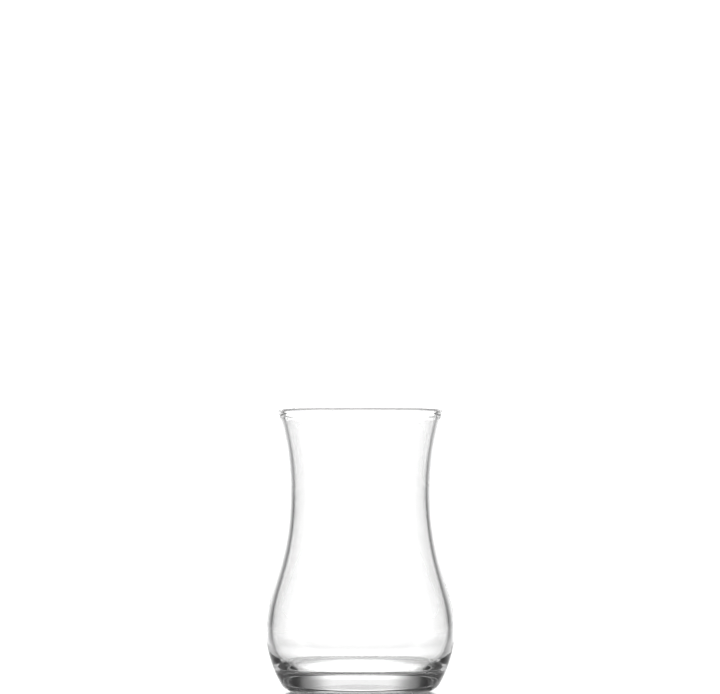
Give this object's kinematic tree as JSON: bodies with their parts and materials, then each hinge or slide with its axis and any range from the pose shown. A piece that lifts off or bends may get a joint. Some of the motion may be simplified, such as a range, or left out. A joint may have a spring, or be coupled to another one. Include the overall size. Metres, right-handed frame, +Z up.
{
  "type": "turkish tea glass",
  "caption": "Empty clear tulip-shaped tea glass with a low round belly, a narrow waist, a flared rim and a thick foot, for drinking hot tea.",
  "frame": {"origin": "on the glass's axis, on the plane that its foot stands on", "axes": "+Z up along the glass's axis of revolution, from the foot to the rim; +X and +Y are alike"},
  "size_m": [0.0606, 0.0606, 0.09],
  "materials": {
    "clear_glass": "clear, fire-polished, smooth"
  },
  "bodies": {
    "root": {"glass": "clear_glass"}
  },
  "joints": []
}
